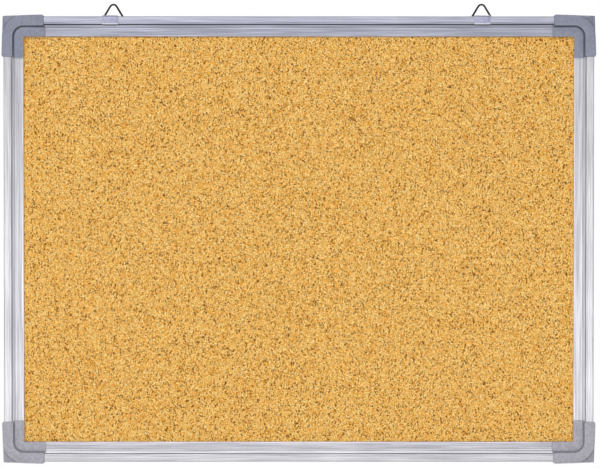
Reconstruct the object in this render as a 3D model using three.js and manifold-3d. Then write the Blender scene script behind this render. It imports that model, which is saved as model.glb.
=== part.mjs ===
// Cork board in an extruded aluminium frame, with moulded corner caps and two sliding ring hangers.
// Millimetres. X runs to the right, Y into the wall and Z up. The origin is the centre of the board,
// in the plane of the wall that it hangs on, so the front faces -Y.
import * as THREE from 'three';
import { mergeVertices } from 'three/addons/utils/BufferGeometryUtils.js';
import Module from 'manifold-3d';

// Frame, measured over the rails
const frameWidth = 600;
const frameHeight = 453;
const faceWidth = 20.5;
const wallGap = 4.5;

// Rail extrusion: a hollow outer rib with a line scribed on it, a crease at its foot, a sloping ledge, a
// reeded front flange and a short back flange
const railDepth = 15;
const railWall = 1;
const ribWidth = 8.2;
const ribStep = 1.5;
const ribOuterRadius = 1.8;
const ribInnerRadius = 1;
const ribBackRadius = 0.6;
const ribLineFromEdge = 1.9;
const ribLineWidth = 0.6;
const ribLineDepth = 0.25;
const footCreaseWidth = 0.6;
const footCreaseDepth = 0.5;
const ledgeWidth = 2.9;
const ledgeFall = 0.9;
const creaseWidth = 0.7;
const creaseDepth = 0.6;
const flangeDrop = 2.1;
const reedCount = 4;
const reedWidth = 0.7;
const reedDepth = 0.3;
const noseDepth = 2;
const noseRadius = 0.8;
const noseTipRadius = 0.3;
const backFlangeStep = 1.4;
const backFlangeReach = 7.6;
const backFlangeRadius = 0.35;

// Board: cork on a fibreboard core with a thin sheet behind, glued together
const corkThickness = 1.5;
const coreThickness = 5.8;
const backingThickness = 0.5;
const glueLine = 0.1;
const boardSlip = 0.2;
const boardEdgeGap = 0.9;

// Corner cap moulding
const capLeg = 41;
const capWallAtMouth = 1.7;
const capWallAtCorner = 0.5;
const capCornerRadius = 1;
const capFit = 0.2;
const capBandSkin = 1.2;
const capFlangeSkin = 1.2;
const capBandInset = 9.8;
const capBandChamfer = 0.5;
const capCornerDrop = 2;
const capGrooveWidth = 1.1;
const capGrooveDepth = 0.6;
const capGrooveStop = 0.6;
const capMouthChamfer = 1.7;
const capMouthLip = 0.4;
const capFlangeExtra = 1.2;
const capBackPlate = 1.7;
const capRim = 1.6;
const capRib = 1.4;
const capPostWall = 1.5;
const capPostDepth = 13;
const railEndGap = 0.3;

// Tenons of the cap, which plug into the hollow ribs
const tenonFromMouth = 3.5;
const tenonSlip = 0.25;
const tenonLead = 1.5;
const tenonSlotWidth = 2.4;
const tenonSlotFloor = 5;

// Screws that hold each rail to its caps
const screwFromMouth = 10;
const screwHeadRadius = 2.8;
const screwHeadHeight = 1.9;
const screwHeadRim = 0.7;
const screwHeadShoulderShare = 0.62;
const screwRadius = 1.4;
const screwLength = 9.5;
const screwPoint = 2.2;
const screwClearance = 0.2;
const screwSeatGap = 0.1;
const crossLength = 3.2;
const crossWidth = 0.7;
const crossDepth = 1.1;

// Hanger clips, bent from strip, which slide along the top rail
const clipWidth = 16;
const clipTongueWidth = 8.5;
const clipThickness = 0.8;
const clipSlip = 0.2;
const clipLipGap = 0.3;
const clipTopRear = 0.6;
const clipTongueLap = 3;
const clipCornerRadius = 1.2;
const clipTailRadius = 0.6;
const clipLeftInset = 108.4;
const clipRightInset = 113.8;

// Triangular wire rings in the clips' eyes
const wireRadius = 1;
const wireEyeSlip = 0.25;
const eyeBehindRail = 2.2;
const ringHalfBase = 10.55;
const ringHeight = 17.44;
const ringApexRadius = 3.75;
const ringFootRadius = 1.5;
const ringJointGap = 0.5;
const ringLeftShift = 2.3;
const ringRightShift = 0.3;

// Cuts run past the faces that they open by this much
const overrun = 6;

// Points of an outline closer than this are one point
const samePoint = 0.001;

// Facets of round forms
const facetAngle = Math.PI / 9;
const capArcSteps = 12;
const screwSides = 16;
const wireSides = 10;
const ringSteps = 64;

// Levels, counted forward from the rails' back, and places worked out from the sizes above
const flangeFront = railDepth - flangeDrop;
const noseTip = flangeFront - noseDepth;
const boardFront = noseTip - boardSlip;
const boardThickness = corkThickness + coreThickness + backingThickness + 2 * glueLine;
const boardBack = boardFront - boardThickness - boardSlip;
const boardInset = ribWidth + boardEdgeGap;
const postNear = capPostWall - capWallAtCorner;
const postFar = boardInset - capFit - capPostWall;
const bandFront = railDepth + capFit + capBandSkin;
const capFlangeFront = flangeFront + capFit + capFlangeSkin;
const capPlateBack = -capFit - capBackPlate;
const screwReach = capLeg - screwFromMouth;
const backFlangeEdge = ribWidth + backFlangeReach;
const eyeRadius = wireRadius + wireEyeSlip + clipThickness / 2;
const clipOffset = clipSlip + clipThickness / 2;
const eyeInset = eyeRadius - clipOffset;

const wasm = await Module();
wasm.setup();

// Solids

function toSolid(geometry) {
  const bare = geometry.clone();
  bare.deleteAttribute('normal');
  bare.deleteAttribute('uv');
  const merged = mergeVertices(bare);
  return new wasm.Manifold(new wasm.Mesh({
    numProp: 3,
    vertProperties: Float32Array.from(merged.attributes.position.array),
    triVerts: Uint32Array.from(merged.index.array),
  }));
}

function toGeometry(solid) {
  const mesh = solid.getMesh();
  const geometry = new THREE.BufferGeometry();
  geometry.setAttribute('position', new THREE.BufferAttribute(Float32Array.from(mesh.vertProperties), 3));
  geometry.setIndex(new THREE.BufferAttribute(Uint32Array.from(mesh.triVerts), 1));
  const faceted = geometry.toNonIndexed();
  faceted.computeVertexNormals();
  return faceted;
}

// Outlines

// A corner is [x, y, radius]. A corner with a radius becomes an arc, any other stays sharp.
function roundCorner(before, corner, after) {
  const point = new THREE.Vector2(corner[0], corner[1]);
  const radius = corner[2] ?? 0;
  if (radius === 0) {
    return [point];
  }
  const toBefore = new THREE.Vector2(before[0], before[1]).sub(point).normalize();
  const toAfter = new THREE.Vector2(after[0], after[1]).sub(point).normalize();
  const halfAngle = Math.acos(THREE.MathUtils.clamp(toBefore.dot(toAfter), -1, 1)) / 2;
  const turn = Math.PI - 2 * halfAngle;
  const bisector = toBefore.clone().add(toAfter).normalize();
  const centre = point.clone().addScaledVector(bisector, radius / Math.sin(halfAngle));
  const start = point.clone().addScaledVector(toBefore, radius / Math.tan(halfAngle)).sub(centre);
  const way = Math.sign(toBefore.cross(toAfter));
  const steps = Math.max(2, Math.ceil(turn / facetAngle));
  const points = [];
  for (let step = 0; step <= steps; step += 1) {
    const spoke = start.clone().rotateAround(new THREE.Vector2(), -way * turn * step / steps);
    points.push(centre.clone().add(spoke));
  }
  return points;
}

function roundedOutline(corners) {
  const count = corners.length;
  return corners.flatMap((corner, i) => (
    roundCorner(corners[(i + count - 1) % count], corner, corners[(i + 1) % count])
  ));
}

function roundedPath(corners) {
  const points = corners.flatMap((corner, i) => {
    if (i === 0 || i === corners.length - 1) {
      return [new THREE.Vector2(corner[0], corner[1])];
    }
    return roundCorner(corners[i - 1], corner, corners[i + 1]);
  });
  return points.filter((point, i) => i === 0 || point.distanceTo(points[i - 1]) > samePoint);
}

// The outline of a bent strip of one thickness, from the line along its middle
function stripOutline(path, thickness) {
  const sides = [[], []];
  path.forEach((point, i) => {
    const back = path[Math.max(i - 1, 0)];
    const on = path[Math.min(i + 1, path.length - 1)];
    const inward = point.clone().sub(back).normalize();
    const outward = on.clone().sub(point).normalize();
    const along = inward.clone().add(outward).normalize();
    const reach = thickness / 2 / Math.max(along.dot(i === 0 ? outward : inward), Number.EPSILON);
    const across = new THREE.Vector2(-along.y, along.x);
    sides[0].push(point.clone().addScaledVector(across, reach));
    sides[1].push(point.clone().addScaledVector(across, -reach));
  });
  return [...sides[0], ...sides[1].reverse()];
}

function arcPoints(centre, radius, startAngle, endAngle, steps) {
  const points = [];
  for (let step = 0; step <= steps; step += 1) {
    const angle = startAngle + (endAngle - startAngle) * step / steps;
    points.push([centre + radius * Math.cos(angle), centre + radius * Math.sin(angle)]);
  }
  return points;
}

// Prisms. A level is a distance forward of the rails' back.

function levelToY(level) {
  return -wallGap - level;
}

// An outline seen from the front, in X and Z, from one level forward to another
function frontPrism(points, fromLevel, toLevel, chamfer = 0) {
  const shape = new THREE.Shape(points);
  const depth = toLevel - fromLevel - chamfer;
  const geometry = new THREE.ExtrudeGeometry(shape, { depth, bevelEnabled: false });
  geometry.rotateX(Math.PI / 2);
  geometry.translate(0, levelToY(fromLevel), 0);
  const solid = toSolid(geometry);
  if (chamfer === 0) {
    return solid;
  }
  return solid.add(toSolid(chamferedCover(shape, toLevel, chamfer)));
}

// The front of a prism, with its edge broken all round
function chamferedCover(shape, toLevel, chamfer) {
  const geometry = new THREE.ExtrudeGeometry(shape, {
    depth: chamfer,
    bevelThickness: chamfer,
    bevelSize: chamfer,
    bevelOffset: -chamfer,
    bevelSegments: 1,
  });
  geometry.rotateX(Math.PI / 2);
  geometry.translate(0, levelToY(toLevel - 2 * chamfer), 0);
  return geometry;
}

// An outline across a rail, as inset from the rail's outer edge and level, run along X
function sectionPrism(points, fromX, toX) {
  const shape = new THREE.Shape(points.map(([inset, level]) => new THREE.Vector2(inset, -level)));
  const geometry = new THREE.ExtrudeGeometry(shape, { depth: toX - fromX, bevelEnabled: false });
  geometry.rotateY(Math.PI / 2);
  geometry.translate(fromX, -wallGap, 0);
  return toSolid(geometry);
}

// A mirrored mesh faces inward, so each of its triangles is wound the other way
function turnInsideOut(geometry) {
  const positions = geometry.attributes.position;
  const first = new THREE.Vector3();
  const last = new THREE.Vector3();
  for (let i = 0; i < positions.count; i += 3) {
    first.fromBufferAttribute(positions, i);
    last.fromBufferAttribute(positions, i + 2);
    positions.setXYZ(i, last.x, last.y, last.z);
    positions.setXYZ(i + 2, first.x, first.y, first.z);
  }
  return geometry;
}

function boxSolid(x, level, z) {
  const geometry = new THREE.BoxGeometry(x[1] - x[0], level[1] - level[0], z[1] - z[0]);
  geometry.translate((x[0] + x[1]) / 2, levelToY((level[0] + level[1]) / 2), (z[0] + z[1]) / 2);
  return toSolid(geometry);
}

function screwHole(x, z, fromLevel, toLevel) {
  const radius = screwRadius + screwClearance;
  const geometry = new THREE.CylinderGeometry(radius, radius, toLevel - fromLevel, screwSides);
  geometry.translate(x, levelToY((fromLevel + toLevel) / 2), z);
  return toSolid(geometry);
}

// Finishes

function aluminium() {
  return new THREE.MeshStandardMaterial({ color: 0xc6c7d0, roughness: 0.38, metalness: 0.85 });
}

function capPlastic() {
  return new THREE.MeshStandardMaterial({ color: 0x9d9eac, roughness: 0.5, metalness: 0 });
}

function cork() {
  return new THREE.MeshStandardMaterial({ color: 0xe0ab5c, roughness: 0.9, metalness: 0 });
}

function fibreboard() {
  return new THREE.MeshStandardMaterial({ color: 0xa98862, roughness: 0.9, metalness: 0 });
}

function backingCard() {
  return new THREE.MeshStandardMaterial({ color: 0xcfccc4, roughness: 0.85, metalness: 0 });
}

function zincPlate() {
  return new THREE.MeshStandardMaterial({ color: 0xb9bac8, roughness: 0.35, metalness: 0.9 });
}

function ringWire() {
  return new THREE.MeshStandardMaterial({ color: 0xcfd0d2, roughness: 0.2, metalness: 1 });
}

// Rails

// The three points of a line scribed along a rail, across its section
function scribedLine(middle, level, width, depth) {
  return [[middle - width / 2, level], [middle, level - depth], [middle + width / 2, level]];
}

function railOutline() {
  const ledgeEdge = ribWidth + ledgeWidth;
  const flangeStart = ledgeEdge + creaseWidth;
  const reedPitch = (faceWidth - noseRadius - flangeStart) / (reedCount + 1);
  const reeds = [];
  for (let reed = 1; reed <= reedCount; reed += 1) {
    reeds.push(...scribedLine(flangeStart + reed * reedPitch, flangeFront, reedWidth, reedDepth));
  }
  const ribFoot = railDepth - ribStep;
  return roundedOutline([
    [0, 0, ribBackRadius],
    [0, railDepth, ribOuterRadius],
    ...scribedLine(ribWidth - ribLineFromEdge, railDepth, ribLineWidth, ribLineDepth),
    [ribWidth, railDepth, ribInnerRadius],
    [ribWidth, ribFoot - footCreaseDepth],
    [ribWidth + footCreaseWidth, ribFoot - ledgeFall * footCreaseWidth / ledgeWidth],
    [ledgeEdge, ribFoot - ledgeFall],
    [ledgeEdge + creaseWidth / 2, flangeFront - creaseDepth],
    [flangeStart, flangeFront],
    ...reeds,
    [faceWidth, flangeFront, noseRadius],
    [faceWidth, noseTip, noseTipRadius],
    [faceWidth - railWall, noseTip, noseTipRadius],
    [faceWidth - railWall, flangeFront - railWall],
    [ledgeEdge, flangeFront - railWall],
    [ribWidth, railDepth - ribStep - railWall],
    [ribWidth, backFlangeStep + railWall],
    [backFlangeEdge, backFlangeStep + railWall, backFlangeRadius],
    [backFlangeEdge, backFlangeStep, backFlangeRadius],
    [ribWidth, backFlangeStep],
    [ribWidth, 0, noseTipRadius],
  ]).map((point) => point.toArray());
}

function ribHollow() {
  return roundedOutline([
    [railWall, railWall],
    [railWall, railDepth - railWall, ribOuterRadius - railWall],
    [ribWidth - railWall, railDepth - railWall],
    [ribWidth - railWall, railWall],
  ]).map((point) => point.toArray());
}

// A rail as it lies at the top of the frame, its outer edge at z = 0
function railMesh(name, frameLength) {
  const halfLength = frameLength / 2 - faceWidth - railEndGap;
  const screwX = frameLength / 2 - screwReach;
  let rail = sectionPrism(railOutline(), -halfLength, halfLength);
  rail = rail.subtract(sectionPrism(ribHollow(), -halfLength - overrun, halfLength + overrun));
  for (const x of [-screwX, screwX]) {
    rail = rail.subtract(screwHole(x, -ribWidth / 2, -railWall, 2 * railWall));
  }
  const mesh = new THREE.Mesh(toGeometry(rail), aluminium());
  mesh.name = name;
  return mesh;
}

// Corner caps. Plan points are counted inward from the rails' outer corner, and the plan is the same
// on both sides of its diagonal.

function planPoints(points) {
  return points.map(([a, b]) => new THREE.Vector2(-a, -b));
}

function swapped(points) {
  return points.map(([a, b, radius]) => [b, a, radius]).reverse();
}

// How far the cap's side stands out of the rail's, at a distance from the corner
function capWallAt(reach) {
  const run = capLeg - capMouthChamfer + capWallAtCorner;
  const rise = capWallAtMouth - capWallAtCorner;
  return capWallAtCorner + rise * (reach + capWallAtCorner) / run;
}

function capMouth() {
  return [
    [capLeg - capMouthChamfer, -capWallAtMouth],
    [capLeg, -capFit - capMouthLip],
  ];
}

function capBodyOutline() {
  const flangeMouth = capLeg + capFlangeExtra;
  const leg = [
    ...capMouth(),
    [capLeg, capBandInset],
    [flangeMouth, capBandInset + capFlangeExtra],
    [flangeMouth, faceWidth],
  ];
  const corner = [-capWallAtCorner, -capWallAtCorner, capCornerRadius];
  const outline = roundedOutline([corner, ...leg, [faceWidth, faceWidth], ...swapped(leg)]);
  return planPoints(outline.map((point) => point.toArray()));
}

// The raised band turns the corner on two arcs about the corner of the visible cork
function capBandOutline() {
  const outer = faceWidth + capWallAt(faceWidth);
  const inner = faceWidth - capBandInset;
  const leg = [...capMouth(), [capLeg, capBandInset]];
  return planPoints([
    ...arcPoints(faceWidth, outer, Math.PI, 1.5 * Math.PI, capArcSteps),
    ...leg,
    ...arcPoints(faceWidth, inner, 1.5 * Math.PI, Math.PI, capArcSteps),
    ...swapped(leg),
  ]);
}

// The lower step that fills the corner outside the band
function capStepOutline() {
  const end = faceWidth / 2;
  const outline = roundedOutline([
    [-capWallAtCorner, -capWallAtCorner, capCornerRadius],
    [end, -capWallAt(end)],
    [end, end],
    [-capWallAt(end), end],
  ]);
  return planPoints(outline.map((point) => point.toArray()));
}

function capGrooveOutline() {
  const outer = faceWidth - capBandInset;
  const inner = outer - capGrooveWidth;
  const end = capLeg - capGrooveStop;
  return planPoints([
    [end, capBandInset],
    ...arcPoints(faceWidth, outer, 1.5 * Math.PI, Math.PI, capArcSteps),
    [capBandInset, end],
    [capBandInset + capGrooveWidth, end],
    ...arcPoints(faceWidth, inner, Math.PI, 1.5 * Math.PI, capArcSteps),
    [end, capBandInset + capGrooveWidth],
  ]);
}

// The space that a rail and the board take inside the cap
function railSpace() {
  const ledgeEdge = ribWidth + ledgeWidth;
  const section = roundedOutline([
    [-capFit, -capFit],
    [-capFit, railDepth + capFit, ribOuterRadius],
    [ribWidth + capFit, railDepth + capFit],
    [ribWidth + capFit, railDepth - ribStep + capFit],
    [ledgeEdge, flangeFront + capFit],
    [faceWidth + overrun, flangeFront + capFit],
    [faceWidth + overrun, -capFit],
  ]).map((point) => point.toArray());
  return sectionPrism(section, -capLeg - overrun, -faceWidth);
}

function tenon() {
  const end = -(capLeg - tenonFromMouth);
  const root = -faceWidth + railWall;
  const low = railWall + tenonSlip;
  const high = railDepth - railWall - tenonSlip;
  const middle = -ribWidth / 2;
  const cheek = ribWidth / 2 - railWall - tenonSlip;
  const side = new THREE.Shape([
    new THREE.Vector2(root, levelToY(low)),
    new THREE.Vector2(root, levelToY(high)),
    new THREE.Vector2(end + tenonLead, levelToY(high)),
    new THREE.Vector2(end, levelToY(high - tenonLead)),
    new THREE.Vector2(end, levelToY(low + tenonLead)),
    new THREE.Vector2(end + tenonLead, levelToY(low)),
  ]);
  const geometry = new THREE.ExtrudeGeometry(side, { depth: 2 * cheek, bevelEnabled: false });
  geometry.translate(0, 0, middle - cheek);
  const slot = boxSolid(
    [end - overrun, -faceWidth - tenonLead],
    [low + tenonSlotFloor, high + overrun],
    [middle - tenonSlotWidth / 2, middle + tenonSlotWidth / 2],
  );
  return toSolid(geometry).subtract(slot);
}

// The shallow pockets of the back plate, on each side of the rib that crosses it
function legPockets() {
  const z = [-(backFlangeEdge - capRim), -capRim / 2];
  const level = [-wallGap - overrun, capPlateBack];
  const ribX = screwReach - screwHeadRadius - capRib;
  return boxSolid([-(capLeg - capRim), -ribX], level, z)
    .add(boxSolid([-(ribX - capRib), -(backFlangeEdge + capRib)], level, z));
}

// A deep pocket behind the foot of the tenon
function tenonPocket() {
  return boxSolid(
    [-(faceWidth - capPostWall), -(postFar + capRib)],
    [-wallGap - overrun, capPostDepth - wallGap],
    [-postFar, -postNear],
  );
}

// Two deep pockets in the corner post, with a diagonal rib between them, and a shallow one inside them
function postPockets() {
  const halfRib = capRib * Math.SQRT1_2;
  const half = [[postNear, postNear + halfRib], [postNear, postFar], [postFar - halfRib, postFar]];
  const pocket = (points) => (
    frontPrism(planPoints(points), -wallGap - overrun, capPostDepth - wallGap)
  );
  const span = [-(backFlangeEdge - capRim), -(postFar + capRib)];
  const inner = boxSolid(span, [-wallGap - overrun, boardBack - capBackPlate], span);
  return pocket(half).add(pocket(swapped(half))).add(inner);
}

// A form of the cap's top leg, mirrored across the corner's diagonal by swapping X and Z
function alongOtherLeg(solid) {
  const geometry = toGeometry(solid);
  geometry.applyMatrix4(new THREE.Matrix4().set(
    0, 0, 1, 0,
    0, 1, 0, 0,
    1, 0, 0, 0,
    0, 0, 0, 1,
  ));
  return toSolid(turnInsideOut(geometry));
}

function capGeometry() {
  const boardSide = boardInset - capFit;
  const past = capLeg + overrun;
  let cap = frontPrism(capBodyOutline(), -wallGap, capFlangeFront);
  cap = cap.add(frontPrism(capBandOutline(), flangeFront, bandFront, capBandChamfer));
  cap = cap.add(frontPrism(capStepOutline(), flangeFront, bandFront - capCornerDrop));
  cap = cap.subtract(frontPrism(capGrooveOutline(), capFlangeFront - capGrooveDepth, bandFront));
  cap = cap.subtract(railSpace()).subtract(alongOtherLeg(railSpace()));
  cap = cap.subtract(boxSolid([-past, -boardSide], [boardBack, noseTip], [-past, -boardSide]));
  cap = cap.subtract(boxSolid([-past, -backFlangeEdge], [-wallGap - overrun, boardFront],
    [-past, -backFlangeEdge]));
  cap = cap.add(tenon()).add(alongOtherLeg(tenon()));
  cap = cap.subtract(legPockets()).subtract(alongOtherLeg(legPockets()));
  cap = cap.subtract(tenonPocket()).subtract(alongOtherLeg(tenonPocket()));
  cap = cap.subtract(postPockets());
  const hole = screwHole(-screwReach, -ribWidth / 2, -wallGap - overrun, railDepth / 2);
  return toGeometry(cap.subtract(hole).subtract(alongOtherLeg(hole)));
}

// One mould makes all four caps
const capForm = capGeometry();

function capMesh(name) {
  const mesh = new THREE.Mesh(capForm, capPlastic());
  mesh.name = name;
  return mesh;
}

// Screws

function screwGeometry() {
  const profile = [
    [0, -screwLength],
    [screwRadius, screwPoint - screwLength],
    [screwRadius, 0],
    [screwHeadRadius, 0],
    [screwHeadRadius, screwHeadRim],
    [screwHeadRadius * screwHeadShoulderShare, screwHeadHeight],
    [0, screwHeadHeight],
  ].map(([radius, y]) => new THREE.Vector2(radius, y));
  const body = toSolid(new THREE.LatheGeometry(profile, screwSides));
  const bar = new THREE.BoxGeometry(crossLength, 2 * crossDepth, crossWidth);
  bar.translate(0, screwHeadHeight, 0);
  const cross = toSolid(bar).add(toSolid(bar.clone().rotateY(Math.PI / 2)));
  return toGeometry(body.subtract(cross));
}

function screwMesh(name, x, z) {
  const mesh = new THREE.Mesh(screwGeometry(), zincPlate());
  mesh.name = name;
  mesh.position.set(x, levelToY(capPlateBack - screwSeatGap), z);
  return mesh;
}

// Board

function sheetMesh(name, material, front, thickness) {
  const width = frameWidth - 2 * boardInset;
  const height = frameHeight - 2 * boardInset;
  const mesh = new THREE.Mesh(new THREE.BoxGeometry(width, thickness, height), material);
  mesh.name = name;
  mesh.position.y = levelToY(front - thickness / 2);
  return mesh;
}

// Hangers, made in the place of the top rail: z = 0 is its top edge

function clipHook() {
  const lip = ribWidth + clipOffset;
  const front = railDepth + clipOffset;
  const path = roundedPath([
    [lip, railDepth - ribStep + clipLipGap],
    [lip, front, ribInnerRadius + clipOffset],
    [-clipOffset, front, ribOuterRadius + clipOffset],
    [-clipOffset, clipTopRear],
  ]);
  const strip = stripOutline(path, clipThickness).map((point) => point.toArray());
  const hook = sectionPrism(strip, -clipWidth / 2, clipWidth / 2);
  const bottom = -lip - clipThickness / 2;
  const blank = roundedOutline([
    [-clipWidth / 2, bottom, clipCornerRadius],
    [clipWidth / 2, bottom, clipCornerRadius],
    [clipWidth / 2, overrun],
    [-clipWidth / 2, overrun],
  ]);
  return hook.intersect(frontPrism(blank, -overrun, bandFront + overrun));
}

// The narrower tongue goes round the wire and down the rail's back, and catches below its rib
function clipTongue() {
  const lip = ribWidth + clipOffset;
  const eyeBottom = eyeInset + eyeRadius;
  const eyeBack = -eyeBehindRail - eyeRadius;
  const path = roundedPath([
    [-clipOffset, clipTongueLap],
    [-clipOffset, eyeBack, eyeRadius],
    [eyeBottom, eyeBack, eyeRadius],
    [eyeBottom, -clipOffset, clipTailRadius],
    [lip, -clipOffset, clipTailRadius],
    [lip, backFlangeStep - clipLipGap],
  ]);
  const strip = stripOutline(path, clipThickness).map((point) => point.toArray());
  return sectionPrism(strip, -clipTongueWidth / 2, clipTongueWidth / 2);
}

function clipMesh(name, x) {
  const mesh = new THREE.Mesh(toGeometry(clipHook().add(clipTongue())), zincPlate());
  mesh.name = name;
  mesh.position.x = x;
  return mesh;
}

// A flat arc in X and Z, for the bends of the ring
class BendCurve extends THREE.Curve {
  constructor(centre, radius, startAngle, turn) {
    super();
    this.centre = centre;
    this.radius = radius;
    this.startAngle = startAngle;
    this.turn = turn;
  }

  getPoint(t, target = new THREE.Vector3()) {
    const angle = this.startAngle + this.turn * t;
    return target.set(
      this.centre.x + this.radius * Math.cos(angle),
      0,
      this.centre.y + this.radius * Math.sin(angle),
    );
  }
}

// One wire bent to a triangle, from the butt joint in the middle of its foot and round to it again
function ringPath() {
  const corners = [
    [ringHalfBase, 0, ringFootRadius],
    [0, ringHeight, ringApexRadius],
    [-ringHalfBase, 0, ringFootRadius],
  ];
  const path = new THREE.CurvePath();
  let from = new THREE.Vector3(ringJointGap / 2, 0, 0);
  corners.forEach(([x, z, radius], i) => {
    const point = new THREE.Vector2(x, z);
    const before = i === 0 ? new THREE.Vector2() : new THREE.Vector2(...corners[i - 1]);
    const after = i === 2 ? new THREE.Vector2() : new THREE.Vector2(...corners[i + 1]);
    const toBefore = before.sub(point).normalize();
    const toAfter = after.sub(point).normalize();
    const halfAngle = Math.acos(toBefore.dot(toAfter)) / 2;
    const bisector = toBefore.clone().add(toAfter).normalize();
    const centre = point.clone().addScaledVector(bisector, radius / Math.sin(halfAngle));
    const start = point.clone().addScaledVector(toBefore, radius / Math.tan(halfAngle));
    const bend = new BendCurve(centre, radius, start.clone().sub(centre).angle(), Math.PI - 2 * halfAngle);
    path.add(new THREE.LineCurve3(from, bend.getPoint(0)));
    path.add(bend);
    from = bend.getPoint(1);
  });
  path.add(new THREE.LineCurve3(from, new THREE.Vector3(-ringJointGap / 2, 0, 0)));
  return path;
}

function ringMesh(name, x) {
  const wire = new THREE.Shape();
  wire.absarc(0, 0, wireRadius, 0, 2 * Math.PI);
  const geometry = new THREE.ExtrudeGeometry(wire, {
    steps: ringSteps,
    curveSegments: wireSides / 2,
    extrudePath: ringPath(),
  });
  const mesh = new THREE.Mesh(toGeometry(toSolid(geometry)), ringWire());
  mesh.name = name;
  mesh.position.set(x, levelToY(-eyeBehindRail), -eyeInset);
  return mesh;
}

function topHanger(place, clipX, ringShift) {
  const group = new THREE.Group();
  group.add(clipMesh(`${place}_hanger_clip`, clipX));
  group.add(ringMesh(`${place}_hanger_ring`, clipX + ringShift));
  group.position.z = frameHeight / 2;
  return group;
}

// Frame: each side and each corner is made as at the top or the top right, then turned about Y

function quarterTurn(quarters) {
  const group = new THREE.Group();
  group.rotation.y = quarters * Math.PI / 2;
  return group;
}

function frameSide(name, quarters) {
  const group = quarterTurn(quarters);
  const upright = quarters % 2 === 1;
  const rail = railMesh(`${name}_rail`, upright ? frameHeight : frameWidth);
  rail.position.z = (upright ? frameWidth : frameHeight) / 2;
  group.add(rail);
  return group;
}

function frameCorner(name, quarters, railNames) {
  const group = quarterTurn(quarters);
  const upright = quarters % 2 === 1;
  const halfAlong = (upright ? frameHeight : frameWidth) / 2;
  const halfAcross = (upright ? frameWidth : frameHeight) / 2;
  const middle = ribWidth / 2;
  const cap = capMesh(`${name}_cap`);
  cap.position.set(halfAlong, 0, halfAcross);
  group.add(cap);
  group.add(screwMesh(`${name}_screw_${railNames[0]}`, halfAlong - screwReach, halfAcross - middle));
  group.add(screwMesh(`${name}_screw_${railNames[1]}`, halfAlong - middle, halfAcross - screwReach));
  return group;
}

const group = new THREE.Group();

const coreFront = boardFront - corkThickness - glueLine;
const backingFront = coreFront - coreThickness - glueLine;
group.add(sheetMesh('cork_sheet', cork(), boardFront, corkThickness));
group.add(sheetMesh('core_board', fibreboard(), coreFront, coreThickness));
group.add(sheetMesh('backing_sheet', backingCard(), backingFront, backingThickness));

['top', 'right', 'bottom', 'left'].forEach((name, quarters) => group.add(frameSide(name, quarters)));

group.add(frameCorner('top_right', 0, ['top_rail', 'right_rail']));
group.add(frameCorner('bottom_right', 1, ['right_rail', 'bottom_rail']));
group.add(frameCorner('bottom_left', 2, ['bottom_rail', 'left_rail']));
group.add(frameCorner('top_left', 3, ['left_rail', 'top_rail']));

group.add(topHanger('left', clipLeftInset - frameWidth / 2, ringLeftShift));
group.add(topHanger('right', frameWidth / 2 - clipRightInset, ringRightShift));

export default group;
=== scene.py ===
import math

import bmesh
import bpy
from mathutils import Matrix, Vector, noise


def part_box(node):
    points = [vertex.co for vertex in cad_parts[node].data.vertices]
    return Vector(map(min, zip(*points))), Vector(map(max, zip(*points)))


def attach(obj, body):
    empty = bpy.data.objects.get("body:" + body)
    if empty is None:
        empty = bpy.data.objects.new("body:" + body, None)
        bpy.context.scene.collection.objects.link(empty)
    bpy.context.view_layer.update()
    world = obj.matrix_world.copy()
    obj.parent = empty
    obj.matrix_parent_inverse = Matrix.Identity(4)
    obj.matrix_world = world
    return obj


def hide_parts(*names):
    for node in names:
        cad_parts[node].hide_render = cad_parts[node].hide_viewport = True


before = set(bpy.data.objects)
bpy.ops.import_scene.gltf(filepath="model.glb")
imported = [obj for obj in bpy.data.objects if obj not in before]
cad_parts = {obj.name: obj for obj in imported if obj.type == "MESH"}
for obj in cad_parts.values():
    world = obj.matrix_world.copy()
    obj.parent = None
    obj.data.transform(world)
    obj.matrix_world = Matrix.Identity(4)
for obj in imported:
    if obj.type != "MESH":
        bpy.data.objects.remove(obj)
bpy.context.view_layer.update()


def colour(red, green, blue):
    """A colour as it looks, in parts of 255, turned into light for a shader."""
    light = []
    for value in (red, green, blue):
        share = value / 255
        light.append(share / 12.92 if share <= 0.04045 else ((share + 0.055) / 1.055) ** 2.4)
    return (*light, 1)


white_light = (1, 1, 1, 1)
no_light = (0, 0, 0, 1)

# Camera: how far it stands from the point that it looks at, how high, and how wide it sees there
camera_distance = 2.5
camera_elevation = math.radians(0.99)
camera_span = 0.6144
camera_aim = Vector((0.0012, 0, 0.0052))
sensor_width = 36
camera_far_end = 60

# Floor and lamps, in metres and watts: each lamp has its place, its width and height and its power
floor_level = -0.55
floor_half = 2.4
floor_tone = colour(246, 246, 246)
floor_white_share = 0.6
world_light = 0.15
lamps = {
    "key": ((-1.3, -5.7, 4.0), (6.5, 2.6), 328),
    "low_strip": ((-0.1, -2.65, -0.25), (5.0, 0.7), 32),
    "behind": ((0.9, 2.2, 1.4), (1.6, 1.6), 50),
}
# The room behind the camera, as metal mirrors it: how much darker it is, and where it ends
room_shade = 0.75
room_starts = -0.25
room_ends = 0.5

# Meshes
weld_distance = 2e-6
flat_angle = math.radians(0.5)
eased_angle = math.radians(38)
smooth_angle = math.radians(32)
ease_segments = 2
cap_ease = 0.00022
clip_ease = 0.00012

# Sizes of grains are in millimetres: this many lie in a metre
millimetres = 1000

# Most of a noise lies between these values
noise_spread = (0.3, 0.7)

# The outlines of the frame and of the opening between its rails, from the middle of the board
right_low, right_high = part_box("right_rail")
top_low, top_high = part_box("top_rail")
frame_side, frame_top = right_high.x, top_high.z
opening_side, opening_top = right_low.x, top_low.z

# Painted shade and highlights lie on the front alone: how far from the wall they end
front_ends = -0.011
front_starts = -0.013

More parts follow.
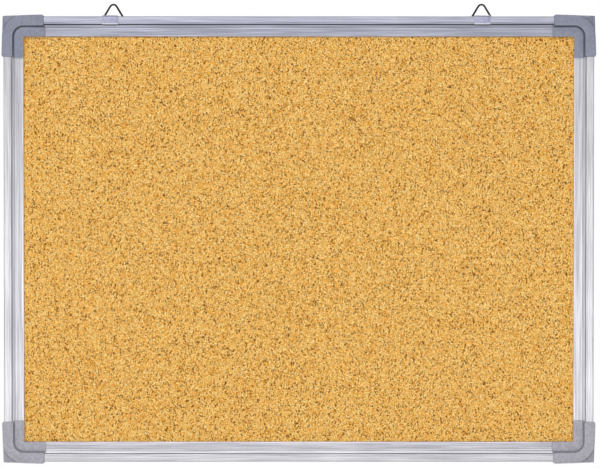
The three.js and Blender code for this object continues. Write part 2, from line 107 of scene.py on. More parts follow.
# Cork: the relief of its face, which two noises and some pits make, and how finely it is modelled
cork_columns = 330
cork_rows = 247
cork_relief = 0.00009
cork_broad_size, cork_broad_share = 9, 0.35
cork_fine_size, cork_fine_share = 2.6, 0.65
cork_pit_size, cork_pit_share = 1.9, 1.6
cork_pit_start = 0.25
cork_pit_shift = Vector((7, 3, 1))

# Cork: its granules, the paler ones, the joints between them and the specks of bark
cork_tones = (colour(240, 168, 68), colour(255, 216, 124))
cork_granule = (1.15, 1.15, 1.6)
cork_push, cork_push_size = 0.3, 1.2
cork_pale_tone = colour(255, 232, 162)
cork_pale_range, cork_pale_share = (0.7, 0.75), 0.95
cork_joint_tone = colour(166, 104, 18)
cork_joint_range, cork_joint_share = (0.0, 0.26), 0.72
bark_tone = colour(98, 50, 4)
bark_granule = (0.9, 0.9, 1.3)
bark_push, bark_push_size = 0.6, 2.0
bark_range, bark_share = (0.87, 0.9), 0.95
cork_rounding = (0.0, 0.3)
cork_tone_height = 0.7
bark_sunk_range, bark_sunk = (0.8, 0.95), 0.8
cork_bump = 0.0001

# Fibreboard core
core_tones = (colour(150, 118, 80), colour(184, 152, 110))
core_fibre = (1.6, 0.3, 0.5)
core_push = 0.8
core_bump = 0.0001

# Backing card: its fibres, its cloudiness and its flecks
card_tones = (colour(198, 195, 187), colour(214, 212, 205))
card_fibre = (3.0, 1.0, 0.5)
card_push = 1.2
card_cloud_tone = colour(204, 199, 188)
card_cloud = 26
card_cloud_range, card_cloud_share = (0.3, 0.75), 0.5
card_fleck_tone = colour(146, 136, 120)
card_fleck = 1.4
card_fleck_push = 0.8
card_fleck_range, card_fleck_share = (0.965, 0.985), 0.5
card_bump = 0.00005

# Rails: their tones, painted darker on the top rail and lighter on the uprights as shaded and lit copies
# of one aluminium, and the fine lines and broader bands that the die leaves along them
top_rail_painted_dark_tones = (colour(140, 142, 156), colour(178, 180, 194))
bottom_rail_painted_mid_tones = (colour(166, 165, 172), colour(206, 205, 211))
upright_rail_painted_light_tones = (colour(182, 182, 188), colour(224, 223, 228))
rail_metal_share = 0.6
rail_gloss_stretch = 0.75
level_rail_gloss_turn = 0.25
die_length = 60.0
die_line, die_line_share = 0.2, 0.4
die_band, die_band_share = 1.4, 0.6
rail_tone_range = (0.36, 0.64)
rail_cloud = 40
rail_cloud_share = 0.25
rail_roughness, rail_line_roughness = 0.4, 0.12
rail_bump = 0.00002
rail_bump_line, rail_bump_band = 0.6, 0.4

# Rails: painted shade at the rib's foot, strongest on the top rail, and on the upright rails' ledge,
# measured in from the frame's outline
rail_painted_shade_tone = colour(52, 52, 58)
top_rail_foot_shade, bottom_rail_foot_shade, upright_rail_foot_shade = 0.85, 0.3, 0.3
foot_inset = 0.0084
foot_core = 0.0003
foot_reach = 0.0008
ledge_painted_shade_tone = colour(120, 120, 128)
ledge_inset = 0.0101
ledge_core = 0.0009
ledge_reach = 0.002
ledge_shade_share = 0.35

# Caps: their tones, painted darker on the upper caps and lighter on the lower ones as shaded and lit
# copies of one plastic, the spark-eroded grain of the mould, the mottle and the flow of the plastic
upper_cap_painted_dark_tones = (colour(116, 121, 138), colour(132, 135, 151))
lower_cap_painted_light_tones = (colour(142, 141, 150), colour(162, 160, 169))
# Painted shade in the groove, stronger on the upper caps
upper_cap_groove_shade, lower_cap_groove_shade = 0.75, 0.35
cap_specular = 0.45
cap_grain = 0.35
cap_mottle = 3.0
cap_flow = 14.0
cap_flow_range, cap_flow_share = (0.35, 0.7), 0.3
cap_roughness, cap_grain_roughness = 0.3, 0.14
cap_bump = 0.00003

# Caps: painted shade along the groove, and a painted shade line at the band's outer step with more
# painted shade beyond it, whose arcs turn about the corner of the opening
cap_painted_shade_tone = colour(52, 54, 68)
groove_radius = 0.01015
groove_core = 0.0006
groove_reach = 0.0014
# Painted shade at the band's outer step and on the corner beyond it
step_painted_shade_tone = colour(70, 72, 80)
band_radius = 0.0219
band_core = 0.0002
band_reach = 0.0008
step_line_share, step_share = 0.4, 0.2
corner_range = (0.006, 0.012)

# Clips and screws: zinc plating, with a painted highlight at the clips' lower bend and a painted shadow
# at their lower edge
zinc_tones = (colour(144, 146, 168), colour(166, 167, 187))
zinc_metal_share = 0.6
zinc_cloud = 2.2
zinc_cloud_push = 0.6
zinc_mark = (0.25, 0.25, 1.4)
zinc_mark_push = 0.5
zinc_roughness, zinc_cloud_roughness = 0.42, 0.16
zinc_bump = 0.00001
# Painted highlight at the clips' lower bend
lip_painted_highlight_tone = colour(232, 232, 240)
lip_below_top = 0.0079
lip_core = 0.0002
lip_reach = 0.0009
lip_highlight_share = 0.7
# Painted shadow at the clips' lower edge
edge_painted_shadow_tone = colour(40, 40, 48)
edge_below_top = 0.0088
edge_core = 0.0004
edge_reach = 0.0007
edge_shadow_share = 0.9

# Hanger ring: nickel, with a painted reflection: dark outside and bright on the inner side
nickel_tones = (colour(206, 207, 210), colour(226, 227, 230))
# Painted dark reflection on the wire's outer side
nickel_painted_dark_reflection = colour(6, 6, 8)
nickel_edge_tint = (0.3, 0.3, 0.32, 1)
nickel_haze = 1.5
nickel_roughness, nickel_haze_roughness = 0.16, 0.1
nickel_mark = 0.3
nickel_bump = 0.000008
inner_side_range = (0.2, 0.8)

# Hanger ring: one wire bent to a triangle, as seen from the front
wire_radius = 0.001
wire_sides = 20
ring_height = 0.01744
ring_half_base = 0.01055
ring_apex_radius = 0.00375
ring_foot_radius = 0.0015
ring_joint_gap = 0.0005
ring_middle_share = 0.35
bend_steps = 12

# Screw: a pan head with a cross recess, a threaded shank, and the turns of the first and next in degrees
screw_sides = 40
screw_head_radius = 0.0028
screw_head_height = 0.0019
screw_head_rim = 0.0007
screw_root_radius = 0.0011
thread_radius = 0.0014
thread_pitch = 0.0011
thread_turns = 7
thread_half_width = 0.00038
screw_length = 0.0095
screw_point = 0.0022
recess_half_span = 0.0016
recess_half_width = 0.00036
recess_depth = 0.0011
recess_taper = 0.6
screw_first_turn = 17
screw_next_turn = 31


# Camera

def place_camera():
    lens = bpy.data.cameras.new("camera")
    lens.sensor_width = sensor_width
    lens.lens = sensor_width * camera_distance / camera_span
    lens.clip_end = camera_far_end
    camera = bpy.data.objects.new("camera", lens)
    bpy.context.scene.collection.objects.link(camera)
    back = Vector((0, -math.cos(camera_elevation), math.sin(camera_elevation)))
    camera.location = camera_aim + back * camera_distance
    camera.rotation_euler = back.to_track_quat("Z", "Y").to_euler()
    bpy.context.scene.camera = camera


# Materials

class Value:
    """A number that varies over a surface. Arithmetic on it adds nodes to its material."""

    def __init__(self, finish, socket):
        self.finish = finish
        self.socket = socket

    def worked(self, operation, first, second):
        node = self.finish.node("Math", {"operation": operation}, {0: first, 1: second})
        return Value(self.finish, node.outputs[0])

    def __add__(self, other):
        return self.worked("ADD", self, other)

    def __radd__(self, other):
        return self.worked("ADD", other, self)

    def __sub__(self, other):
        return self.worked("SUBTRACT", self, other)

    def __rsub__(self, other):
        return self.worked("SUBTRACT", other, self)

    def __mul__(self, other):
        return self.worked("MULTIPLY", self, other)

    def __rmul__(self, other):
        return self.worked("MULTIPLY", other, self)

    def size(self):
        """The number without its sign."""
        return self.worked("ABSOLUTE", self, 0)

    def past(self, start):
        """How far the number is past a start, or 0."""
        return self.worked("MAXIMUM", self - start, 0)

    def root(self):
        return self.worked("SQRT", self, 0)

    def near(self, middle, core, reach):
        """1 within the core of a middle value, and less and less until the reach."""
        return 1 - (self - middle).size().step(core, reach)

    def step(self, low, high):
        """0 at low, 1 at high, and an even rise between."""
        node = self.finish.node(
            "MapRange",
            {"interpolation_type": "SMOOTHSTEP"},
            {"Value": self, "From Min": low, "From Max": high},
        )
        return Value(self.finish, node.outputs[0])


class Finish:
    """A material of one Principled shader, with short calls for the nodes that feed it."""

    def __init__(self, name, constants):
        self.material = bpy.data.materials.new(name)
        self.material.use_nodes = True
        self.shader = self.material.node_tree.nodes["Principled BSDF"]
        for socket, value in constants.items():
            self.shader.inputs[socket].default_value = value
        self.place = self.node("TexCoord", {}, {}).outputs["Object"]

    def node(self, kind, settings, sockets):
        made = self.material.node_tree.nodes.new("ShaderNode" + kind)
        for name, value in settings.items():
            setattr(made, name, value)
        for name, value in sockets.items():
            self.give(made.inputs[name], value)
        return made

    def give(self, socket, value):
        source = value.socket if isinstance(value, Value) else value
        if isinstance(source, bpy.types.NodeSocket):
            self.material.node_tree.links.new(source, socket)
        else:
            socket.default_value = source

    def feed(self, name, value):
        self.give(self.shader.inputs[name], value)

    def coordinates(self, x, y=None, z=None):
        """Places on the piece, counted along each axis in grains of that many millimetres."""
        scale = [millimetres / size for size in (x, y or x, z or x)]
        return self.node("Mapping", {}, {"Vector": self.place, "Scale": scale}).outputs[0]

    def along(self, axis):
        """How far along an axis the place is, in metres."""
        return Value(self, self.node("SeparateXYZ", {}, {0: self.place}).outputs[axis])

    def carried(self, name):
        """A number that the piece carries on its points."""
        return Value(self, self.node("Attribute", {"attribute_name": name}, {}).outputs["Fac"])

    def front(self):
        """1 on the front and 0 on the back."""
        return 1 - self.along("Y").step(front_starts, front_ends)

    def noise(self, places, detail=2.0, roughness=0.5):
        sockets = {"Vector": places, "Scale": 1.0, "Detail": detail, "Roughness": roughness}
        return Value(self, self.node("TexNoise", {}, sockets).outputs[0])

    def pushed(self, places, reach, size=1.0):
        """The same places, pushed about by a noise, so that what lies on them is uneven."""
        noise_node = self.node("TexNoise", {}, {"Vector": places, "Scale": size, "Detail": 1.0})
        centred = self.vector("SUBTRACT", noise_node.outputs[1], (0.5, 0.5, 0.5))
        return self.vector("ADD", places, self.vector("MULTIPLY", centred, (reach, reach, reach)))

    def vector(self, operation, first, second):
        return self.node("VectorMath", {"operation": operation}, {0: first, 1: second}).outputs[0]

    def grains(self, places, feature="F1"):
        return self.node("TexVoronoi", {"feature": feature}, {"Vector": places, "Scale": 1.0})

    def draws_of(self, grains):
        """Two random numbers for each grain."""
        parts = self.node("SeparateColor", {}, {"Color": grains.outputs["Color"]})
        return Value(self, parts.outputs[0]), Value(self, parts.outputs[1])

    def mix(self, share, first, second):
        return self.node("Mix", {"data_type": "RGBA"}, {0: share, 6: first, 7: second}).outputs[2]

    def relief(self, height, depth):
        node = self.node("Bump", {}, {"Height": height, "Distance": depth})
        self.feed("Normal", node.outputs[0])


def rail_metal(name, upright, tones, painted_shade_share):
    """Extruded aluminium: fine lines along the rail from the die, and painted shade at the rib's foot
    and on the upright rails' ledge.
    """
    finish = Finish(name, {
        "Metallic": rail_metal_share,
        "Anisotropic": rail_gloss_stretch,
        "Anisotropic Rotation": 0.0 if upright else level_rail_gloss_turn,
    })

    def drawn_out(width):
        """Places for a grain that is drawn out along the rail."""
        if upright:
            return finish.coordinates(width, width, die_length)
        return finish.coordinates(die_length, width, width)

    dark, light = tones
    line = finish.noise(drawn_out(die_line), detail=3.0)
    band = finish.noise(drawn_out(die_band))
    cloud = finish.noise(finish.coordinates(rail_cloud))
    tone = die_line_share * line + die_band_share * band
    metal = finish.mix(tone.step(*rail_tone_range), dark, light)
    metal = finish.mix(cloud.step(*noise_spread) * rail_cloud_share, metal, dark)
    outline = frame_side if upright else frame_top
    outwards = finish.along("X" if upright else "Z").size()
    # Painted shade in the crease at the rib's foot
    foot = outwards.near(outline - foot_inset, foot_core, foot_reach)
    front = finish.front()
    if upright:
        # Painted shade on the upright rails' ledge
        ledge_shade = outwards.near(outline - ledge_inset, ledge_core, ledge_reach)
        metal = finish.mix(ledge_shade * front * ledge_shade_share, metal, ledge_painted_shade_tone)
    finish.feed("Base Color", finish.mix(foot * front * painted_shade_share, metal, rail_painted_shade_tone))
    finish.feed("Roughness", rail_roughness + rail_line_roughness * line)
    finish.relief(line * rail_bump_line + band * rail_bump_band, rail_bump)
    return finish.material


def cap_plastic(name, tones, painted_shade_share):
    """Moulded grey plastic: a faint spark-eroded grain, a slight mottle, and painted shade in the groove
    and at the band's outer step.
    """
    finish = Finish(name, {"Specular IOR Level": cap_specular})
    dark, light = tones
    grain = finish.noise(finish.coordinates(cap_grain))
    mottle = finish.noise(finish.coordinates(cap_mottle), detail=3.0, roughness=0.6)
    flow = finish.noise(finish.coordinates(cap_flow))
    base = finish.mix(mottle.step(*noise_spread), dark, light)
    base = finish.mix(flow.step(*cap_flow_range) * cap_flow_share, base, dark)
    across = finish.along("X").size().past(opening_side)
    up = finish.along("Z").size().past(opening_top)
    radius = (across * across + up * up).root()
    corner = across.step(*corner_range) * up.step(*corner_range)
    front = finish.front()
    # Painted shade in the groove
    groove_shade = radius.near(groove_radius, groove_core, groove_reach)
    base = finish.mix(groove_shade * front * painted_shade_share, base, cap_painted_shade_tone)
    # Painted shade line at the band's outer step, and painted shade on the corner beyond it
    step_line = radius.near(band_radius, band_core, band_reach)
    beyond_band = radius.step(band_radius, band_radius + band_core)
    painted_step_shade = step_line_share * step_line + step_share * beyond_band
    finish.feed("Base Color", finish.mix(painted_step_shade * corner * front, base, step_painted_shade_tone))
    finish.feed("Roughness", cap_roughness + cap_grain_roughness * grain)
    finish.relief(grain, cap_bump)
    return finish.material


def cork_granules():
    """Agglomerated cork: packed granules of several tones, dark joints and specks of bark."""
    finish = Finish("cork", {"Roughness": 0.92, "Specular IOR Level": 0.08})
    places = finish.pushed(finish.coordinates(*cork_granule), cork_push, cork_push_size)
    edge = Value(finish, finish.grains(places, "DISTANCE_TO_EDGE").outputs["Distance"])
    tone = finish.draws_of(finish.grains(places))[0]
    small_places = finish.pushed(finish.coordinates(*bark_granule), bark_push, bark_push_size)
    bark, pale = finish.draws_of(finish.grains(small_places))
    base = finish.mix(tone, *cork_tones)
    base = finish.mix(pale.step(*cork_pale_range) * cork_pale_share, base, cork_pale_tone)
    joint = (1 - edge.step(*cork_joint_range)) * cork_joint_share
    base = finish.mix(joint, base, cork_joint_tone)
    base = finish.mix(bark.step(*bark_range) * bark_share, base, bark_tone)
    finish.feed("Base Color", base)
    sunk = bark_sunk * bark.step(*bark_sunk_range)
    finish.relief(edge.step(*cork_rounding) + cork_tone_height * tone - sunk, cork_bump)
    return finish.material


def core_board():
    """Soft fibreboard: short fibres pressed together."""
    finish = Finish("core_fibreboard", {"Roughness": 0.9, "Specular IOR Level": 0.2})
    places = finish.pushed(finish.coordinates(*core_fibre), core_push)
    fibre = finish.noise(places, detail=3.0, roughness=0.6)
    finish.feed("Base Color", finish.mix(fibre.step(*noise_spread), *core_tones))
    finish.relief(fibre, core_bump)
    return finish.material


def backing_card():
    """Pale grey card: long pressed fibres, flecks and a faint cloudiness."""
    finish = Finish("backing_card", {"Roughness": 0.82, "Specular IOR Level": 0.3})
    places = finish.pushed(finish.coordinates(*card_fibre), card_push)
    fibre = finish.noise(places, detail=4.0, roughness=0.6)
    cloud = finish.noise(finish.coordinates(card_cloud), detail=3.0)
    fleck_places = finish.pushed(finish.coordinates(card_fleck), card_fleck_push)
    fleck = finish.draws_of(finish.grains(fleck_places))[0]
    base = finish.mix(fibre.step(*noise_spread), *card_tones)
    base = finish.mix(cloud.step(*card_cloud_range) * card_cloud_share, base, card_cloud_tone)
    base = finish.mix(fleck.step(*card_fleck_range) * card_fleck_share, base, card_fleck_tone)
    finish.feed("Base Color", base)
    finish.relief(fibre, card_bump)
    return finish.material


def zinc_plate():
    """Zinc plating on steel: bluish, faintly cloudy, with fine marks from tumbling, a painted highlight
    at the clips' lower bend and a painted shadow at their lower edge.
    """
    finish = Finish("zinc_steel", {"Metallic": zinc_metal_share})
    places = finish.pushed(finish.coordinates(zinc_cloud), zinc_cloud_push)
    cloud = finish.noise(places, detail=3.0, roughness=0.6)
    mark = finish.noise(finish.pushed(finish.coordinates(*zinc_mark), zinc_mark_push))
    metal = finish.mix(cloud.step(*noise_spread), *zinc_tones)
    height = finish.along("Z")
    front = finish.front()
    # Painted highlight along the clips' lower bend
    lip_highlight = height.near(frame_top - lip_below_top, lip_core, lip_reach)
    metal = finish.mix(lip_highlight * front * lip_highlight_share, metal, lip_painted_highlight_tone)
    # Painted shadow at the clips' lower edge
    edge = height.near(frame_top - edge_below_top, edge_core, edge_reach)
    finish.feed("Base Color", finish.mix(edge * front * edge_shadow_share, metal, edge_painted_shadow_tone))
    finish.feed("Roughness", zinc_roughness + zinc_cloud_roughness * cloud)
    finish.relief(mark, zinc_bump)
    return finish.material


def ring_nickel():
    """Nickel on drawn wire, a little hazy, with a painted reflection: dark outside and bright on the
    inner side.
    """
    finish = Finish("ring_wire", {"Metallic": 1.0, "Specular Tint": nickel_edge_tint})
    haze = finish.noise(finish.coordinates(nickel_haze), detail=3.0)
    inner = finish.carried("inward").step(*inner_side_range)
    bright = finish.mix(haze.step(*noise_spread), *nickel_tones)
    # Painted reflection: the wire's outer side dark, its inner side bright
    finish.feed("Base Color", finish.mix(inner, nickel_painted_dark_reflection, bright))
    finish.feed("Roughness", nickel_roughness + nickel_haze_roughness * haze)
    finish.relief(finish.noise(finish.coordinates(nickel_mark)), nickel_bump)
    return finish.material


# Stage

def place_floor():
    form = bmesh.new()
    bmesh.ops.create_grid(form, x_segments=1, y_segments=1, size=floor_half)
    bmesh.ops.translate(form, verts=form.verts, vec=(0, 0, floor_level))
    mesh = bpy.data.meshes.new("floor")
    form.to_mesh(mesh)
    form.free()
    floor = bpy.data.objects.new("floor", mesh)
    bpy.context.scene.collection.objects.link(floor)
    finish = Finish("floor", {"Roughness": 0.9, "Specular IOR Level": 0.1})
    finish.feed("Base Color", floor_tone)
    nodes = finish.material.node_tree.nodes
    links = finish.material.node_tree.links
    white = nodes.new("ShaderNodeEmission")
    white.inputs["Color"].default_value = white_light
    share = nodes.new("ShaderNodeMath")
    share.operation = "MULTIPLY"
    links.new(seen_or_mirrored(nodes, links), share.inputs[0])
    share.inputs[1].default_value = floor_white_share
    mixed = nodes.new("ShaderNodeMixShader")
    links.new(share.outputs[0], mixed.inputs[0])
    links.new(finish.shader.outputs[0], mixed.inputs[1])
    links.new(white.outputs[0], mixed.inputs[2])
    links.new(mixed.outputs[0], nodes["Material Output"].inputs["Surface"])
    mesh.materials.append(finish.material)


def seen_or_mirrored(nodes, links):
    """1 for what is seen, also in metal or through glass, and 0 for light on the object."""
    path = nodes.new("ShaderNodeLightPath")
    seen = nodes.new("ShaderNodeMath")
    seen.operation = "MAXIMUM"
    links.new(path.outputs["Is Camera Ray"], seen.inputs[0])
    links.new(path.outputs["Is Glossy Ray"], seen.inputs[1])
    through = nodes.new("ShaderNodeMath")
    through.operation = "MAXIMUM"
    links.new(seen.outputs[0], through.inputs[0])
    links.new(path.outputs["Is Transmission Ray"], through.inputs[1])
    return through.outputs[0]


def mirrored_room(nodes, links):
    """White, but in metal darker towards the room behind the camera, where the lamps show."""
    way = nodes.new("ShaderNodeTexCoord")
    parts = nodes.new("ShaderNodeSeparateXYZ")
    links.new(way.outputs["Generated"], parts.inputs[0])
    depth = nodes.new("ShaderNodeMapRange")
    depth.interpolation_type = "SMOOTHSTEP"
    links.new(parts.outputs["Y"], depth.inputs["Value"])
    depth.inputs["From Min"].default_value = room_starts
    depth.inputs["From Max"].default_value = room_ends
    depth.inputs["To Min"].default_value = room_shade
    depth.inputs["To Max"].default_value = 0.0
    path = nodes.new("ShaderNodeLightPath")
    shade = nodes.new("ShaderNodeMath")
    shade.operation = "MULTIPLY"
    links.new(depth.outputs[0], shade.inputs[0])
    links.new(path.outputs["Is Glossy Ray"], shade.inputs[1])
    toned = nodes.new("ShaderNodeMix")
    toned.data_type = "RGBA"
    links.new(shade.outputs[0], toned.inputs[0])
    toned.inputs[6].default_value = white_light
    toned.inputs[7].default_value = no_light
    return toned.outputs[2]


def light_world():
    """White where the camera, metal or glass looks past the object, and a softer light on it."""
    world = bpy.data.worlds.new("studio")
    world.use_nodes = True
    bpy.context.scene.world = world
    nodes = world.node_tree.nodes
    links = world.node_tree.links
    nodes.clear()
    soft = nodes.new("ShaderNodeBackground")
    soft.inputs["Color"].default_value = white_light
    soft.inputs["Strength"].default_value = world_light
    white = nodes.new("ShaderNodeBackground")
    white.inputs["Strength"].default_value = 1.0
    links.new(mirrored_room(nodes, links), white.inputs["Color"])
    chosen = nodes.new("ShaderNodeMixShader")
    links.new(seen_or_mirrored(nodes, links), chosen.inputs[0])
    links.new(soft.outputs[0], chosen.inputs[1])
    links.new(white.outputs[0], chosen.inputs[2])
    output = nodes.new("ShaderNodeOutputWorld")
    links.new(chosen.outputs[0], output.inputs["Surface"])


def place_lamps():
    for name, (place, (width, height), power) in lamps.items():
        light = bpy.data.lights.new(name, "AREA")
        light.shape = "RECTANGLE"
        light.size = width
        light.size_y = height
        light.energy = power
        lamp = bpy.data.objects.new(name, light)
        bpy.context.scene.collection.objects.link(lamp)
        lamp.location = place
        lamp.rotation_euler = Vector(place).to_track_quat("Z", "Y").to_euler()


# Meshes

def points_of(made):
    return [item for item in made if isinstance(item, bmesh.types.BMVert)]


def edges_of(made):
    return [item for item in made if isinstance(item, bmesh.types.BMEdge)]


def close_holes(form):
    bmesh.ops.holes_fill(form, edges=[edge for edge in form.edges if edge.is_boundary], sides=0)


def turn(form, verts, angle, axis):
    """Turns vertices about an axis through the origin."""
    bmesh.ops.rotate(form, verts=verts, cent=(0, 0, 0), matrix=Matrix.Rotation(angle, 3, axis))


def piece_of(form, name, material):
    """A finished mesh, smooth across its shallow edges, as an object at the origin."""
    for face in form.faces:
        face.smooth = True
    for edge in form.edges:
        edge.smooth = edge.is_manifold and edge.calc_face_angle() < smooth_angle
    mesh = bpy.data.meshes.new(name)
    form.to_mesh(mesh)
    form.free()
    mesh.materials.append(material)
    piece = bpy.data.objects.new(name, mesh)
    bpy.context.scene.collection.objects.link(piece)
    return piece


def finished(piece, body, node):
    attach(piece, body)
    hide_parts(node)


def eased_copy(node, name, material, ease):
    """A copy of a solid whose sharp edges are broken, as a mould, die or tumbler leaves them."""
    form = bmesh.new()
    form.from_mesh(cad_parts[node].data)
    bmesh.ops.remove_doubles(form, verts=form.verts, dist=weld_distance)
    bmesh.ops.dissolve_limit(form, angle_limit=flat_angle, verts=form.verts, edges=form.edges)
    if ease > 0:
        sharp = [
            edge for edge in form.edges
            if edge.is_manifold and edge.calc_face_angle() > eased_angle
        ]
        bmesh.ops.bevel(
            form, geom=sharp, offset=ease, offset_type="OFFSET", affect="EDGES",
            segments=ease_segments, profile=0.5, clamp_overlap=True, material=-1,
        )
    return piece_of(form, name, material)


# Board

def cork_face(x, z):
    """How far the cork's face stands out or falls in at a place, in metres."""
    place = Vector((x, z, 0)) * millimetres
    broad = noise.noise(place / cork_broad_size)
    fine = noise.noise(place / cork_fine_size)
    pit = max(0, noise.noise(place / cork_pit_size + cork_pit_shift) - cork_pit_start)
    height = cork_broad_share * broad + cork_fine_share * fine - cork_pit_share * pit
    return cork_relief * height


def make_cork(material):
    """The cork's face as a fine grid with its relief, with walls and a back."""
    low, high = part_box("cork_sheet")
    span = high - low
    middle = (low + high) / 2
    form = bmesh.new()
    bmesh.ops.create_grid(form, x_segments=cork_columns, y_segments=cork_rows, size=0.5)
    bmesh.ops.scale(form, verts=form.verts, vec=(span.x, span.z, 1))
    turn(form, form.verts, math.pi / 2, "X")
    bmesh.ops.translate(form, verts=form.verts, vec=(middle.x, low.y, middle.z))
    rim = [edge for edge in form.edges if edge.is_boundary]
    inside = [vert for vert in form.verts if not vert.is_boundary]
    for vert in inside:
        vert.co.y -= cork_face(vert.co.x, vert.co.z)
    walls = bmesh.ops.extrude_edge_only(form, edges=rim)["geom"]
    bmesh.ops.translate(form, verts=points_of(walls), vec=(0, span.y, 0))
    close_holes(form)
    bmesh.ops.recalc_face_normals(form, faces=form.faces)
    finished(piece_of(form, "cork_face", material), "frame", "cork_sheet")


def dress_node(node, material):
    """A solid that stays as it is, with a material of its own."""
    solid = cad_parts[node]
    solid.data.materials.clear()
    solid.data.materials.append(material)


# Frame

def make_rails():
    # Three copies of one aluminium, their tones painted darker on the top rail and lighter on the
    # uprights for light and shade
    top = rail_metal("rail_top", False, top_rail_painted_dark_tones, top_rail_foot_shade)
    bottom = rail_metal("rail_bottom", False, bottom_rail_painted_mid_tones, bottom_rail_foot_shade)
    upright = rail_metal("rail_upright", True, upright_rail_painted_light_tones, upright_rail_foot_shade)
    for side, metal in (("top", top), ("bottom", bottom), ("left", upright), ("right", upright)):
        node = side + "_rail"
        rail = eased_copy(node, side + "_extrusion", metal, 0)
        finished(rail, "frame", node)


def make_caps():
    # Two copies of one plastic, painted darker on the upper caps and lighter on the lower ones for light
    # and shade
    upper = cap_plastic("cap_plastic_upper", upper_cap_painted_dark_tones, upper_cap_groove_shade)
    lower = cap_plastic("cap_plastic_lower", lower_cap_painted_light_tones, lower_cap_groove_shade)
    for corner in ("top_right", "bottom_right", "bottom_left", "top_left"):
        node = corner + "_cap"
        plastic = upper if corner.startswith("top") else lower
        cap = eased_copy(node, corner + "_moulding", plastic, cap_ease)
        finished(cap, "frame", node)


# Hangers

def sweep_straight(form, edges, way):
    """Draws an end of the wire out along a straight, and gives back its new end."""
    grown = bmesh.ops.extrude_edge_only(form, edges=edges)["geom"]
    bmesh.ops.translate(form, verts=points_of(grown), vec=way)
    return edges_of(grown)


def sweep_bend(form, edges, centre, angle):
    """Draws an end of the wire round a bend, and gives back its new end."""
    grown = bmesh.ops.spin(
        form, geom=edges, cent=centre, axis=(0, 1, 0), dvec=(0, 0, 0), angle=angle,
        steps=bend_steps, use_merge=False, use_normal_flip=False, use_duplicate=False,
    )["geom_last"]
    return edges_of(grown)


def mark_inner_side(form):
    """Lets each point of a ring carry how far it faces the ring's middle."""
    form.normal_update()
    middle = Vector((0, 0, ring_height * ring_middle_share))
    inward = form.verts.layers.float.new("inward")
    for vert in form.verts:
        vert[inward] = vert.normal.dot((middle - vert.co).normalized())


def make_ring(side, material):
    """One wire: a straight, a bend, a straight, round to the joint in the middle of its foot."""
    low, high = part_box(side + "_hanger_ring")
    foot = Vector(((low.x + high.x) / 2, (low.y + high.y) / 2, low.z + wire_radius))
    corners = [
        (Vector((ring_half_base, 0, 0)), ring_foot_radius),
        (Vector((0, 0, ring_height)), ring_apex_radius),
        (Vector((-ring_half_base, 0, 0)), ring_foot_radius),
    ]
    start = Vector((ring_joint_gap / 2, 0, 0))
    end = Vector((-ring_joint_gap / 2, 0, 0))
    form = bmesh.new()
    bmesh.ops.create_circle(form, segments=wire_sides, radius=wire_radius)
    turn(form, form.verts, math.pi / 2, "Y")
    bmesh.ops.translate(form, verts=form.verts, vec=start)
    edges = list(form.edges)
    stops = [start] + [corner for corner, radius in corners] + [end]
    reached = start
    for index, (corner, radius) in enumerate(corners, 1):
        inward = (stops[index - 1] - corner).normalized()
        outward = (stops[index + 1] - corner).normalized()
        half = math.acos(inward.dot(outward)) / 2
        bend_start = corner + inward * radius / math.tan(half)
        centre = corner + (inward + outward).normalized() * radius / math.sin(half)
        edges = sweep_straight(form, edges, bend_start - reached)
        edges = sweep_bend(form, edges, centre, -(math.pi - 2 * half))
        reached = corner + outward * radius / math.tan(half)
    sweep_straight(form, edges, end - reached)
    close_holes(form)
    bmesh.ops.remove_doubles(form, verts=form.verts, dist=weld_distance)
    bmesh.ops.recalc_face_normals(form, faces=form.faces)
    mark_inner_side(form)
    bmesh.ops.translate(form, verts=form.verts, vec=foot)
    ring = piece_of(form, side + "_ring", material)
    finished(ring, side + "_ring", side + "_hanger_ring")


def make_hangers(zinc, nickel):
    for side in ("left", "right"):
        node = side + "_hanger_clip"
        clip = eased_copy(node, side + "_clip", zinc, clip_ease)
        finished(clip, side + "_clip", node)
        make_ring(side, nickel)


# Screws

def spun(form, profile):
    """A turned form about the Y axis, from points of radius and height."""
    verts = [form.verts.new((radius, height, 0)) for radius, height in profile]
    edges = [form.edges.new(pair) for pair in zip(verts, verts[1:])]
    bmesh.ops.spin(
        form, geom=verts + edges, cent=(0, 0, 0), axis=(0, 1, 0), dvec=(0, 0, 0),
        angle=2 * math.pi, steps=screw_sides,
        use_merge=True, use_normal_flip=False, use_duplicate=False,
    )
    bmesh.ops.remove_doubles(form, verts=form.verts, dist=weld_distance)


def head_profile():
    """The dome of a pan head, from its rim up to the middle."""
    dome = screw_head_height - screw_head_rim
    return [
        (screw_head_radius * math.cos(angle), screw_head_rim + dome * math.sin(angle))
        for angle in (math.pi / 2 * step / bend_steps for step in range(bend_steps))
    ]


def screw_form():
    """A screw at the origin, its head towards +Y and its seat at y = 0."""
    form = bmesh.new()
    spun(form, [
        (0, -screw_length),
        (screw_root_radius, screw_point - screw_length),
        (screw_root_radius, 0),
        (screw_head_radius, 0),
        *head_profile(),
        (0, screw_head_height),
    ])
    bmesh.ops.recalc_face_normals(form, faces=form.faces)
    return form


def recess_form():
    """The cross that is punched into the head, narrower towards its floor."""
    form = bmesh.new()
    for angle in (0, math.pi / 2):
        bar = bmesh.ops.create_cube(form, size=2)["verts"]
        bmesh.ops.scale(form, verts=bar, vec=(recess_half_span, recess_depth, recess_half_width))
        for vert in bar:
            if vert.co.y < 0:
                vert.co.x *= recess_taper
        turn(form, bar, angle, "Y")
    bmesh.ops.translate(form, verts=form.verts, vec=(0, screw_head_height, 0))
    return form


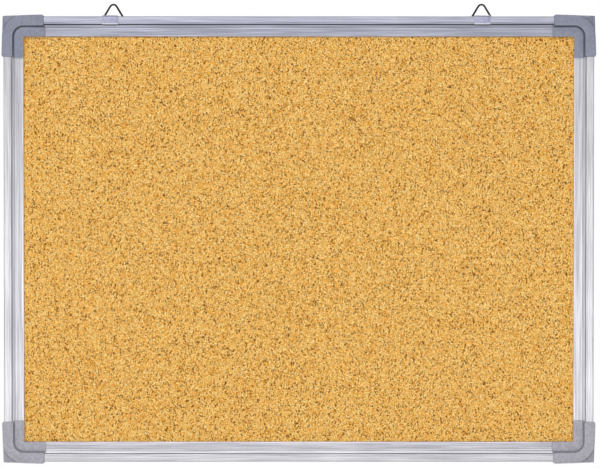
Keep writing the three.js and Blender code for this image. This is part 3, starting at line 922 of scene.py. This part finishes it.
def make_thread(form):
    """A pointed ridge wound round the shank."""
    start = screw_point - screw_length
    verts = [
        form.verts.new((screw_root_radius - thread_half_width, start - thread_half_width, 0)),
        form.verts.new((thread_radius, start, 0)),
        form.verts.new((screw_root_radius - thread_half_width, start + thread_half_width, 0)),
    ]
    form.faces.new(verts)
    edges = [form.edges.get((verts[index], verts[(index + 1) % 3])) for index in range(3)]
    steps = screw_sides // 2 * thread_turns
    grown = bmesh.ops.spin(
        form, geom=edges, cent=(0, 0, 0), axis=(0, 1, 0), angle=2 * math.pi * thread_turns,
        dvec=(0, thread_pitch * thread_turns / steps, 0), steps=steps,
        use_merge=False, use_normal_flip=False, use_duplicate=False,
    )["geom_last"]
    form.faces.new(points_of(grown))
    bmesh.ops.recalc_face_normals(form, faces=form.faces)


def object_of(form, name):
    """A form as an object that only lends its shape to a cut."""
    mesh = bpy.data.meshes.new(name)
    form.to_mesh(mesh)
    form.free()
    made = bpy.data.objects.new(name, mesh)
    bpy.context.scene.collection.objects.link(made)
    return made


def screw_mesh():
    """One screw with its recess cut, from which all are copied."""
    blank = object_of(screw_form(), "screw_blank")
    punch = object_of(recess_form(), "screw_recess")
    cut = blank.modifiers.new("recess", "BOOLEAN")
    cut.operation = "DIFFERENCE"
    cut.solver = "EXACT"
    cut.use_self = True
    cut.object = punch
    bpy.context.view_layer.update()
    evaluated = blank.evaluated_get(bpy.context.evaluated_depsgraph_get())
    done = bpy.data.meshes.new_from_object(evaluated)
    bpy.data.objects.remove(blank)
    bpy.data.objects.remove(punch)
    form = bmesh.new()
    form.from_mesh(done)
    make_thread(form)
    form.to_mesh(done)
    form.free()
    return done


def make_screw(node, pattern, material, angle):
    low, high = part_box(node)
    form = bmesh.new()
    form.from_mesh(pattern)
    turn(form, form.verts, angle, "Y")
    place = Vector(((low.x + high.x) / 2, high.y - screw_head_height, (low.z + high.z) / 2))
    bmesh.ops.translate(form, verts=form.verts, vec=place)
    finished(piece_of(form, node + "_threaded", material), "frame", node)


def make_screws(zinc):
    pattern = screw_mesh()
    nodes = sorted(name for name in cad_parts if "_screw_" in name)
    for index, node in enumerate(nodes):
        make_screw(node, pattern, zinc, math.radians(screw_first_turn + screw_next_turn * index))
    bpy.data.meshes.remove(pattern)


place_camera()
place_floor()
light_world()
place_lamps()

make_cork(cork_granules())
dress_node("core_board", core_board())
dress_node("backing_sheet", backing_card())
make_rails()
make_caps()
zinc = zinc_plate()
make_hangers(zinc, ring_nickel())
make_screws(zinc)

bpy.context.scene.view_settings.view_transform = "Standard"
